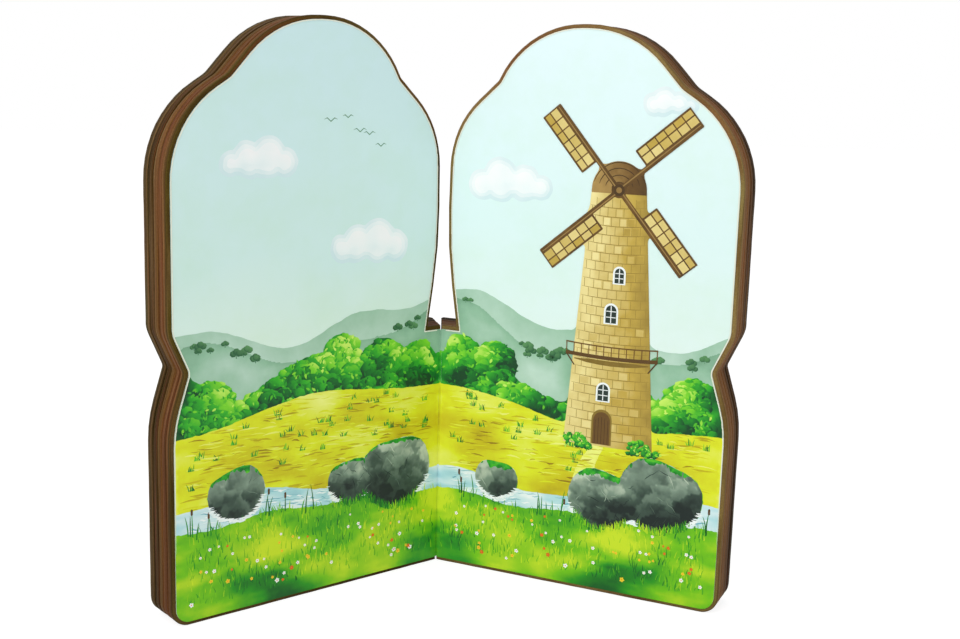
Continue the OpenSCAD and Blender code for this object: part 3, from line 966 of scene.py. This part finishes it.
def paint_boulders(label, looks, rng):
    picture = Picture(label)
    stone = land[label, "boulders"]
    picture.paint(stone, lambda u, z: stone_tone(label, u, z), STONE, grain=0.9)
    low, high = Z[stone > 0].min(), Z[stone > 0].max()
    made = 0
    while made < CRACKS:
        u, z = rng.uniform(5, HALF_W), rng.uniform(low, high)
        if read(stone, u, z) > 2.5:
            turn, long = rng.choice((-1, 1)) * rng.uniform(0.3, 1.3), rng.uniform(3, 8)
            path = [(u + long * q * math.cos(turn) + rng.uniform(-0.4, 0.4),
                     z + long * q * math.sin(turn) + rng.uniform(-0.4, 0.4)) for q in (-0.5, -0.2, 0.1, 0.5)]
            path = [p for p in path if read(stone, *p) > 0.8]
            if len(path) > 2:
                wide = rng.uniform(0.2, 0.5)
                shade = rng.choice((-0.4, -0.32, -0.2, 0.2))
                picture.stroke(path, [0.05, wide, wide * 0.8, 0.05][:len(path)],
                               float(stone_tone(label, u, z)) + shade, CRACK, 0, rng.uniform(0, 0.5))
            made += 1
    # Moss on top, and water or grass along the foot
    crest = crests[label, "boulders"]
    slope = np.minimum(np.abs(np.gradient(crest, STEP)), 3)
    moss = np.minimum(1.5 + 6.0 * (clouds_of(U, Z, 5, 77) - 0.45) - 1.3 * slope - (crest - Z), stone)
    picture.paint(moss, lambda u, z: 0.3 + 0.9 * (clouds_of(u, z, 2, 79) - 0.4), CRACK, 2, grain=0.9)
    rows, columns = np.nonzero((stone > 0.2) & (stone < 1.2) & (np.roll(stone, 3, 0) < 0))
    for k in rng.sample(range(len(rows)), min(len(rows), FOOT_STROKES)):
        u, z = GRID_U[columns[k]] + rng.uniform(-0.3, 0.3), GRID_Z[rows[k]] + rng.uniform(-0.3, 0.3)
        if not clear_of_edge(label, u, z, 6):
            continue
        if read(shapes[label, "brook"], u, z - 1.5) > -0.5:
            path = curve(u, z - rng.uniform(0.3, 1.4), rng.uniform(1.5, 4), rng.uniform(-0.2, 0.2), -0.2)
            wide = rng.uniform(0.3, 0.7)
            picture.stroke(path, [0.05, wide, wide, 0.05], rng.uniform(0.8, 1.1), CRACK, 1,
                           rng.uniform(0.55, 0.95))
        else:
            long, lean, wide = rng.uniform(2.0, 4.5), rng.uniform(-1.2, 1.2), rng.uniform(0.3, 0.6)
            tone = float(meadow_tone(label, u, z)) + rng.uniform(-0.4, 0.25)
            blade(picture, u, z - 1.6, long, lean, wide, tone, CRACK, 3, rng.uniform(0.55, 0.95))
    inks = [looks[name] for name in ("stone", "water", "leaf", "meadow")]
    picture.finish(label + "_stone_print", "stone_print", inks, label + "_boulders")


# The windmill. Its hub is the middle of the four sails.
SAIL_POINTS = node_points("windmill_sails", 1)[:, [0, 2]]
MILL_U, HUB_Z = (SAIL_POINTS.min(0) + SAIL_POINTS.max(0)) / 2
SAIL_W, SAIL_TURN = 10.0, math.radians(40)
SAIL_TIP = math.sqrt(np.hypot(*(SAIL_POINTS - (MILL_U, HUB_Z)).T).max() ** 2 - (0.9 * SAIL_W) ** 2)


def paint_tower(looks, rng):
    picture = Picture("right")
    tower = smooth_union(shapes["right", "mill"], shapes["right", "sails"] - 0.3)
    tower = np.minimum(tower, shapes["right", "page"])
    foot = Z[shapes["right", "mill"] > 0].min()
    spread = {z: reach_of(shapes["right", "mill"], z) for z in (foot + 3, foot + 60)}
    (a0, b0), (a1, b1) = spread.values()

    def sides(z):
        share = (z - foot - 3) / 57
        return a0 + (a1 - a0) * share, b0 + (b1 - b0) * share

    def tower_tone(u, z):
        left, right = sides(z)
        across = (u - left) / (right - left)
        return 0.86 - 0.62 * np.clip(across - 0.15, 0, 1) + 0.3 * (clouds_of(u, z, 6, 83) - 0.5)

    picture.paint(tower, tower_tone, TOWER, grain=1.5)
    rows = np.arange(foot + 4, HUB_Z - 5, 4.0)
    for k, z in enumerate(rows):
        left, right = sides(z)
        middle, wide = (left + right) / 2, right - left - 1.2
        widths = [0.1, 0.28, 0.32, 0.3, 0.32, 0.28, 0.1]
        picture.stroke(curve(middle, z, wide, 0, -0.9, 7), widths, 0.22, TRIM, 0, 0.1)
        for q in range(7):
            share = (q + (0.25 if k % 2 else 0.75)) / 7
            u = left + 0.6 + wide * share
            drop = -0.9 * (1 - (2 * share - 1) ** 2)
            picture.stroke([(u, z + drop + 0.2), (u, z + drop + 3.8)], [0.22, 0.22], 0.25, TRIM, 0, 0.1)
            if rng.random() < 0.4:
                stone_w = wide / 7 * 0.8
                corners = [(u + 0.3, z + drop + 0.4), (u + stone_w, z + drop + 0.4),
                           (u + stone_w, z + drop + 3.4), (u + 0.3, z + drop + 3.4)]
                if corners[1][0] < right - 0.6:
                    tone = float(tower_tone(u, z)) + rng.uniform(-0.16, 0.16)
                    picture.dab(corners, tone, TRIM, 0, 0.05)
    # Cap with rows of shingles
    cap = np.minimum(tower, Z - HUB_Z + 1.5)
    cap = np.minimum(cap, 14 - np.hypot(U - MILL_U, Z - HUB_Z))

    def cap_tone(u, z):
        return 0.6 - 0.035 * (u - MILL_U) + 0.4 * (clouds_of(u, z, 4, 85) - 0.5)

    picture.paint(cap, cap_tone, TOWER + 1, 1, grain=1.2)
    for ring in (3.5, 6.5, 9.5, 12.0):
        turns = [math.pi * (0.08 + 0.84 * k / 12) for k in range(13)]
        path = [(MILL_U - ring * math.cos(a), HUB_Z + ring * math.sin(a)) for a in turns]
        picture.stroke(path, [0.1] + [0.4] * 11 + [0.1], 0.12, TRIM, 1, 0.1)
    # Gallery with its rail
    deck = foot + 0.36 * (HUB_Z - foot)
    left, right = sides(deck)
    reach, rail = 3.6, 5.0
    picture.stroke(curve((left + right) / 2, deck - 2.4, right - left - 1, 0, -0.9, 7),
                   [0.4, 1.6, 2.0, 2.2, 2.0, 1.6, 0.4], 0.12, TRIM, 0, 0.2)
    for height, wide in ((0, 1.7), (rail, 0.6)):
        path = curve((left + right) / 2, deck + height, right - left + 2 * reach, 0, -0.9, 9)
        picture.stroke(path, [wide] * 9, 0.45 if height else 0.3, TRIM, 1, 0.5)
    posts = 13
    for k in range(posts):
        share = k / (posts - 1)
        u = left - reach + 0.3 + (right - left + 2 * reach - 0.6) * share
        drop = -0.9 * (1 - (2 * share - 1) ** 2)
        picture.stroke([(u, deck + drop), (u, deck + drop + rail)], [0.45, 0.45], 0.5, TRIM, 1, 0.3)
    for way in (-1, 1):
        edge = left if way < 0 else right
        bracket = [(edge + way * (reach - 0.6), deck - 0.8), (edge - way * 0.6, deck - 5.5)]
        picture.stroke(bracket, [0.6, 0.6], 0.2, TRIM, 1, 0.3)
    # Windows and the door
    openings = [(MILL_U - 1, deck + 15, 5.0, 8.0), (MILL_U + 2, deck + 33, 4.2, 6.6),
                (MILL_U - 3, foot + 21, 5.0, 7.5)]
    for u, z, wide, tall in openings:
        picture.dab(arch(u, z - 0.5, wide + 1.6, tall + 1.4), 0.7, TRIM, 2, 0.55)
        picture.dab(arch(u, z, wide, tall), 0.1, TRIM, 3, 0.65)
        picture.stroke([(u, z + 0.2), (u, z + tall - 0.3)], [0.4, 0.4], 0.8, TRIM, 2, 0.75)
        for rise in (0.33, 0.66):
            bar = [(u - wide / 2 + 0.2, z + tall * rise), (u + wide / 2 - 0.2, z + tall * rise)]
            picture.stroke(bar, [0.35, 0.35], 0.8, TRIM, 2, 0.8)
    picture.dab(arch(MILL_U - 3, foot + 0.8, 9.6, 16.2), 0.15, TRIM, 0, 0.6)
    picture.dab(arch(MILL_U - 3, foot + 0.8, 8.0, 15.0), 0.42, TRIM, 1, 0.7)
    for k in range(-2, 3):
        u = MILL_U - 3 + 1.5 * k
        tall = 13.6 - 0.5 * abs(k) ** 1.6
        picture.stroke([(u, foot + 1.2), (u, foot + tall)], [0.22, 0.22], 0.08, TRIM, 1, 0.8)
    # Bushes at the foot, from the back ones to the front ones
    tufts = []
    for middle, wide, tall in ((-15, 6.5, 6), (-11.5, 4, 3.5), (14.5, 5.5, 6.5), (19, 5, 4)):
        for k in range(BUSH_TUFTS):
            turn, reach = rng.uniform(0, math.pi), math.sqrt(rng.random())
            tufts.append((foot - 1.5 + tall * reach * math.sin(turn),
                          MILL_U + middle + wide * reach * math.cos(turn)))
    for k, (z, u) in enumerate(sorted(tufts, reverse=True)):
        tone = 0.30 + 0.05 * (z - foot) + rng.uniform(-0.14, 0.14)
        clump(picture, u, z, rng.uniform(0.9, 1.8), tone, TRIM, 4, 0.1 + 0.8 * k / len(tufts), rng)
    for k in range(BUSH_LEAVES):
        z, u = rng.choice(tufts)
        long = rng.uniform(0.9, 1.9)
        spot = u + rng.uniform(-1, 1), z + rng.uniform(-0.6, 1)
        corners = leaf(*spot, long, long * 0.45, rng.uniform(0, math.tau))
        picture.dab(corners, rng.uniform(0.25, 1.0), TRIM + 1, 4, 0.9 * k / BUSH_LEAVES)
    picture.finish("windmill_print", "tan_print",
                   [looks["mill"], looks["sail"], looks["cloud"], looks["stone"], looks["leaf"]], "windmill")


def paint_sails(looks, rng):
    picture = Picture("right")
    sails = np.minimum(shapes["right", "sails"] + 0.1, shapes["right", "page"])
    picture.paint(sails, lambda u, z: 0.35 + 0.5 * (clouds_of(u, z, 5, 93) - 0.5), SAIL, grain=1.5)
    cells, frame_w = 6, 0.8
    inner, outer = 0.35 * SAIL_TIP, SAIL_TIP
    long = (outer - inner - frame_w) / cells
    for k in range(4):
        c, s = math.cos(SAIL_TURN + k * math.pi / 2), math.sin(SAIL_TURN + k * math.pi / 2)

        def spot(a, b):
            return MILL_U + c * a - s * b, HUB_Z + s * a + c * b
        for cell in range(cells):
            for low, high in ((1.6, 5.0), (5.6, 0.9 * SAIL_W - frame_w)):
                a0 = inner + frame_w + cell * long
                a1 = a0 + long - frame_w * 0.7
                corners = [spot(a0, low), spot(a1, low), spot(a1, high), spot(a0, high)]
                picture.dab(corners, 0.55 + 0.3 * rng.random() - 0.12 * (low > 2), CLOTH, 1, 0)
        bar = [spot(0, 0.35), spot(SAIL_TIP * 0.5, 0.35), spot(SAIL_TIP - 0.8, 0.35)]
        picture.stroke(bar, [0.6, 0.5, 0.4], 0.75, CLOTH, 0, 0.2)
    for radius, tone, lift in ((2.6, 0.15, 0.5), (1.3, 0.7, 0.7)):
        picture.dab(disc(MILL_U, HUB_Z, radius, 0.4), tone, CLOTH, 0, lift)
    picture.finish("sail_print", "brown_print", [looks["sail"], looks["mill"]], "windmill_sails")


def paint_margin(label, looks):
    """The pale paper that shows round the print, up to the fold."""
    picture = Picture(label)
    page = shapes[label, "page"]
    wide = 0.55 * np.clip((Z - 10) / 60, 0.02, 1)
    ring = np.minimum(np.minimum(page, wide - page), U - 2.0)
    picture.paint(ring, lambda u, z: 0.75 + 0 * u, GRASS, grain=3.0)
    picture.finish(label + "_print_margin", "page_print", [looks["paper"]])


# Sheets that bend over the folds

def shell(name, front, back, materials, looks, tones):
    """A closed thin sheet between two grids of points; looks and tones hold one value for each row."""
    rows, columns = front.shape[:2]
    n = rows * columns
    faces, kinds = [], []
    for i in range(rows - 1):
        for j in range(columns - 1):
            a, b = i * columns + j, (i + 1) * columns + j
            faces += [(a, a + 1, b + 1, b), (b + n, b + 1 + n, a + 1 + n, a + n)]
            kinds += [looks[i]] * 2
        for a, b in (((i + 1) * columns, i * columns), ((i + 1) * columns - 1, (i + 2) * columns - 1)):
            faces.append((b, a, a + n, b + n))
            kinds.append(looks[i])
    for j in range(columns - 1):
        last = (rows - 1) * columns + j
        faces += [(j + 1, j, j + n, j + 1 + n), (last, last + 1, last + 1 + n, last + n)]
        kinds += [looks[0], looks[-1]]
    mesh = bpy.data.meshes.new(name)
    mesh.from_pydata(np.concatenate([front.reshape(-1, 3), back.reshape(-1, 3)]).tolist(), [], faces)
    mesh.polygons.foreach_set("material_index", kinds)
    values = np.tile(np.repeat(tones, columns), 2)
    mesh.attributes.new("tone", "FLOAT", "POINT").data.foreach_set("value", values)
    mesh.update()
    return new_object(name, mesh, *materials)


def gutter_crease(looks):
    """The strip of the printed spread that bends over the fold, with the picture's colours."""
    spine_h = outer_loop("right_page_block", 1, PAGE_LEVELS[0])
    spine_h = spine_h[spine_h[:, 0] < 1, 1].max()
    rim = node_points("right_page_sheet", 1)[:, 2].min()
    heights = np.arange(rim, spine_h - rim, 0.25)
    names = [next((n for n in reversed(LAND) if read(land["right", n], 0.9, z) > 0), None) for z in heights]
    tones = [float(TONES[n]("right", 0.6, z)) if n else 0.5 for n, z in zip(names, heights)]
    for k, z in enumerate(heights):
        if names[k] == "hills" and read(ridges["right"], 0.9, z) > 0:
            tones[k] = float(ridge_tone("right", 0.6, z))
    edge = to_world(1, FOLD_GAP, SHEET_FACE, 0)
    start = math.atan2(edge[1] - SHIFT_Y * MM, edge[0])
    radius = math.hypot(edge[1] - SHIFT_Y * MM, edge[0])
    turns = np.linspace(math.pi - start, start, 9)
    grids = []
    for reach in (radius - 0.07 * MM, radius):
        ring = np.stack([reach * np.cos(turns), reach * np.sin(turns) + SHIFT_Y * MM], -1)
        grid = np.empty((len(heights), len(turns), 3))
        grid[:, :, :2] = ring
        grid[:, :, 2] = heights[:, None] * MM
        grids.append(grid)
    order = LAND + [None]
    keys = {"hills": "hill", "hedge": "leaf", "field": "field", "brook": "water", "meadow": "meadow",
            "boulders": "stone", None: "paper"}
    made = shell("gutter_crease", grids[0], grids[1], [looks[keys[n]] for n in order],
                 [order.index(n) for n in names], tones)
    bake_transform(made)


def cover_crease(label, side, looks):
    """The strip of paper that joins a page block's back sheet to its cover's lining."""
    back = node_points(label + "_back_sheet", side)
    lining = node_points(label + "_lining_sheet", side)
    u = np.linspace(back[:, 0].min(), lining[:, 0].min(), 7)
    low, thick, gap = back[:, 2].min(), 0.06, LINING_FACE - BACK_SHEET_END
    high = outer_loop(label + "_back_sheet", side, BACK_SHEET_END)
    high = high[high[:, 0] < back[:, 0].min() + SAME, 1].max()
    heights = np.linspace(low, high, 12)
    level = BACK_SHEET_END + 0.02 + (gap - thick - 0.04) * np.linspace(0, 1, len(u))
    near, far = ([to_world(side, u, t, z) for z in heights] for t in (level, level + thick))
    first, second = (far, near) if side > 0 else (near, far)
    made = shell(label + "_cover_crease", np.array(first), np.array(second), [looks["paper"]],
                 [0] * len(heights), [0.75] * len(heights))
    start, end = (tuple(map(float, to_world(side, u[k], level[k], 0))) for k in (0, -1))
    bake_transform(made)
    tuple(start)
    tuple(end)


looks = {
    "cloud": tone_material("cloud_ink", [(0, (214, 238, 240)), (0.6, (244, 252, 252)), (1, (255, 255, 255))]),
    "hill": tone_material("hill_ink", [(0, (84, 136, 100)), (0.45, (150, 194, 164)), (1, (212, 236, 224))]),
    "far_leaf": tone_material("far_leaf_ink", [(0, (46, 98, 62)), (0.5, (92, 148, 92)),
                                               (1, (150, 190, 130))]),
    "leaf": tone_material("leaf_ink", [(0, (4, 66, 30)), (0.25, (14, 116, 36)), (0.5, (52, 176, 40)),
                                       (0.75, (126, 216, 44)), (1, (206, 244, 104))]),
    "field": tone_material("field_ink", [(0, (150, 122, 12)), (0.3, (204, 190, 20)), (0.6, (226, 234, 36)),
                                         (1, (246, 250, 140))]),
    "water": tone_material("water_ink", [(0, (104, 172, 190)), (0.5, (178, 224, 230)), (1, (250, 255, 255))]),
    "meadow": tone_material("meadow_ink", [(0, (8, 92, 26)), (0.3, (40, 150, 24)), (0.6, (116, 196, 14)),
                                           (1, (206, 230, 40))]),
    "stone": tone_material("stone_ink", [(0, (20, 34, 30)), (0.35, (62, 82, 70)), (0.7, (124, 146, 128)),
                                         (1, (196, 210, 188))]),
    "mill": tone_material("mill_ink", [(0, (96, 72, 20)), (0.5, (198, 168, 74)), (1, (250, 234, 164))]),
    "sail": tone_material("sail_ink", [(0, (50, 34, 12)), (0.5, (112, 80, 34)), (1, (184, 150, 86))]),
    "bloom": tone_material("bloom_ink", [(0, (226, 84, 24)), (0.35, (236, 150, 20)), (0.55, (250, 226, 50)),
                                         (0.9, (255, 255, 255))]),
    "paper": tone_material("bare_paper", [(0, (196, 200, 186)), (1, (248, 250, 232))]),
}

# The left sky is written darker than the right one: partly a real difference in the print, partly painted
# shade on the left page, which faces away from the key light.
skies = {
    "left": sheet_material("left_sky_print_and_shade", [(0.4, (228, 248, 232)), (0.6, (214, 242, 238)),
                                              (1, (211, 240, 243))]),
    "right": sheet_material("right_sky_print", [(0.4, (232, 250, 244)), (0.65, (226, 250, 248)),
                                                (1, (232, 252, 254))]),
}


def cover_material():
    """The covers' outside: rows of rolling hills under a pale sky."""
    material, tree = new_material("cover_print_look")
    place = place_in_frame(tree)
    z = height_above_floor(tree, place)
    share = math_node(tree, "DIVIDE", z, BOOK_H * MM)
    color = ramp(tree, share, [(0.3, srgb(224, 244, 234)), (1, srgb(186, 224, 234))])
    patches = noise(tree, scaled(tree, place, 1, 1, 2.5), 30, 4.0, 0.6)
    for row, (top, swing, top_color, low_color) in enumerate((
            (92, 60, (176, 212, 190), (146, 192, 164)), (62, 52, (150, 208, 60), (74, 160, 44)),
            (34, 50, (222, 228, 60), (196, 184, 30)), (6, 54, (140, 210, 40), (28, 122, 34)))):
        moved = {"Vector": place, "Location": (row, 0, 0), "Scale": (1, 1, 0)}
        along = node(tree, "Mapping", moved).outputs[0]
        crest = math_node(tree, "MULTIPLY_ADD", noise(tree, along, 13 + row, 1.0), swing * MM, top * MM)
        depth = math_node(tree, "DIVIDE", math_node(tree, "SUBTRACT", crest, z), 36 * MM)
        shade = math_node(tree, "MULTIPLY_ADD", math_node(tree, "SUBTRACT", patches, 0.5), 0.8, depth)
        ground = ramp(tree, shade, [(0.1, srgb(*top_color)), (0.9, srgb(*low_color))])
        color = mix(tree, math_node(tree, "GREATER_THAN", depth, 0.0), color, ground)
    gloss_surface(tree, place, color)
    return material


lining = sheet_material("lining_print_look", [(0, (214, 232, 224)), (1, (206, 230, 236))])
outside = cover_material()
for label in SIDES:
    for name, look in (("page_sheet", skies[label]), ("back_sheet", lining), ("lining_sheet", lining),
                       ("cover_sheet", outside)):
        slots = frame["nodes"][f"{label}_{name}"].data.materials
        slots.clear()
        slots.append(look)

# The colours of the cut edge by t, from the front of the pages to the back of the cover
LEFT_BANDS = [(0, (86, 72, 26)), (2.4, (92, 72, 26)), (3.6, (134, 90, 46)), (6.5, (116, 70, 36)),
              (8.5, (128, 84, 40)), (11.5, (114, 86, 40)), (13.2, (72, 50, 10)), (16, (72, 52, 10)),
              (18, (84, 68, 32)), (21.6, (90, 80, 48))]
RIGHT_BANDS = [(0, (146, 128, 76)), (1.6, (142, 116, 64)), (3, (148, 110, 60)), (8, (140, 96, 52)),
               (12, (122, 84, 42)), (14.6, (92, 62, 28)), (17.4, (60, 42, 14)), (21.6, (54, 40, 12))]
for label, side in SIDES.items():
    foam = foam_material(label + "_foam", side, LEFT_BANDS if side < 0 else RIGHT_BANDS)
    page_block(label, side, foam)
    cover(label, side, foam)
    dice = random.Random(label)
    for part in (paint_sky, paint_hills, paint_hedge, paint_field, paint_brook, paint_meadow, paint_boulders):
        part(label, looks, dice)
    paint_margin(label, looks)
    cover_crease(label, side, looks)
dice = random.Random("windmill")
paint_tower(looks, dice)
paint_sails(looks, dice)
gutter_crease(looks)


# Floor, light and camera

def backdrop():
    """A plain pale floor that keeps a soft shadow and shows white to the camera."""
    mesh = bpy.data.meshes.new("floor")
    reach = 4.0
    mesh.from_pydata([(-reach, -reach, 0), (reach, -reach, 0), (reach, reach, 0), (-reach, reach, 0)], [],
                     [(0, 1, 2, 3)])
    material, tree = new_material("floor_paint")
    seen = seen_directly(tree)
    paint = mix(tree, seen, (0.86, 0.86, 0.86, 1), (0.42, 0.42, 0.42, 1))
    matt = node(tree, "BsdfDiffuse", {"Color": paint}).outputs[0]
    glow = math_node(tree, "MULTIPLY", seen, 0.8)
    white = node(tree, "Emission", {"Color": (1, 1, 1, 1), "Strength": glow}).outputs[0]
    shader = node(tree, "AddShader", {0: matt, 1: white}).outputs[0]
    node(tree, "OutputMaterial", {"Surface": shader})
    new_object("floor", mesh, material)


def studio_air():
    world = bpy.data.worlds.new("studio")
    bpy.context.scene.world = world
    world.use_nodes = True
    tree = world.node_tree
    tree.nodes.clear()
    strength = math_node(tree, "MULTIPLY_ADD", seen_directly(tree), 1 - AIR, AIR)
    shader = node(tree, "Background", {"Color": (1, 1, 1, 1), "Strength": strength}).outputs[0]
    node(tree, "OutputWorld", {"Surface": shader})


def lamp(name, place, target, size, power):
    data = bpy.data.lights.new(name, "AREA")
    data.shape, data.size, data.energy = "SQUARE", size, power
    made = bpy.data.objects.new(name, data)
    made.location = place
    made.rotation_euler = (Vector(target) - Vector(place)).to_track_quat("-Z", "Y").to_euler()
    bpy.context.scene.collection.objects.link(made)


def camera():
    yaw, pitch, roll = (math.radians(a) for a in (7.65, 10.63, -1.69))
    (sy, cy), (sp, cp), (sr, cr) = ((math.sin(a), math.cos(a)) for a in (yaw, pitch, roll))
    ahead = Vector((sy * cp, cy * cp, -sp))
    right = Vector((cy, -sy, 0))
    down = ahead.cross(right)
    x_axis, y_axis = cr * right + sr * down, -(-sr * right + cr * down)
    data = bpy.data.cameras.new("camera")
    data.lens, data.sensor_width, data.sensor_fit = 49.18, 36, "HORIZONTAL"
    data.clip_start, data.clip_end = 0.01, 50
    made = bpy.data.objects.new("camera", data)
    axes = Matrix((x_axis, y_axis, -ahead)).transposed().to_4x4()
    place = Vector((-62.3, SHIFT_Y - 599.0, 231.9)) * MM
    made.matrix_world = Matrix.Translation(place) @ axes
    bpy.context.scene.collection.objects.link(made)
    bpy.context.scene.camera = made


AIR = 0.62
backdrop()
studio_air()
lamp("key", (-0.9, -1.0, 0.9), (0, 0, 0.13), 0.9, 9.0)
lamp("fill", (0.9, -1.1, 0.5), (0, 0, 0.13), 0.9, 2.0)
camera()
bpy.context.scene.view_settings.view_transform = "Standard"
